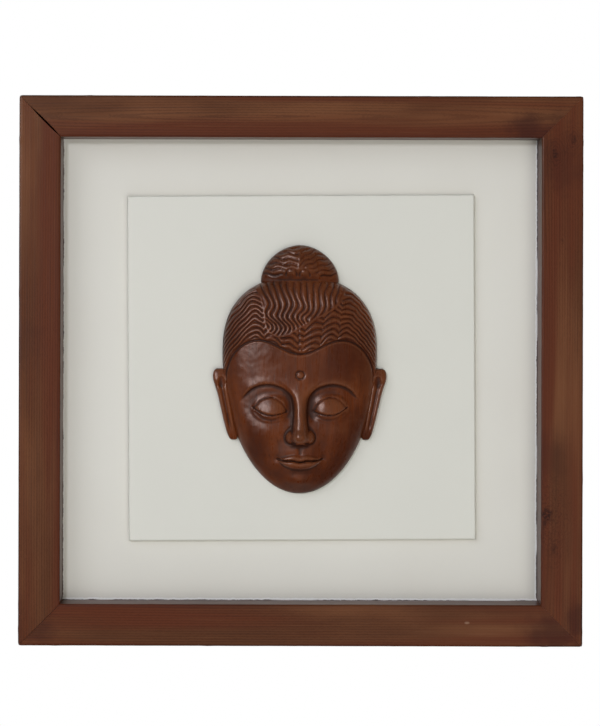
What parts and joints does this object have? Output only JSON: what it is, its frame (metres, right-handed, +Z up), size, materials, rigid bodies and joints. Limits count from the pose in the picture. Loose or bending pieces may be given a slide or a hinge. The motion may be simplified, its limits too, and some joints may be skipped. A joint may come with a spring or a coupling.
{
  "type": "framed carved mask",
  "caption": "Carved wooden buddha mask with hair topknot and long ears, on a raised cream panel in a deep square wooden shadow frame for the wall.",
  "frame": {"origin": "where the wall's nail bears, under the middle notch of the hanger plate, in the plane of the frame's back", "axes": "+X along the frame's width, to the right as seen from the front; +Y into the wall; +Z up. The mask faces -Y."},
  "size_m": [0.406, 0.0495, 0.396],
  "materials": {
    "frame_wood": "brown stained pine, satin varnish",
    "mask_wood": "carved hardwood, dark brown stain, satin wax",
    "cream_paint": "board painted matt cream",
    "hanger_steel": "plain"
  },
  "bodies": {
    "root": {"frame_top": "frame_wood", "frame_bottom": "frame_wood", "frame_left": "frame_wood", "frame_right": "frame_wood", "backing_board": "cream_paint", "raised_panel": "cream_paint", "mask": "mask_wood", "hanger_plate": "hanger_steel", "hanger_nail_left": "hanger_steel", "hanger_nail_right": "hanger_steel"}
  },
  "joints": []
}
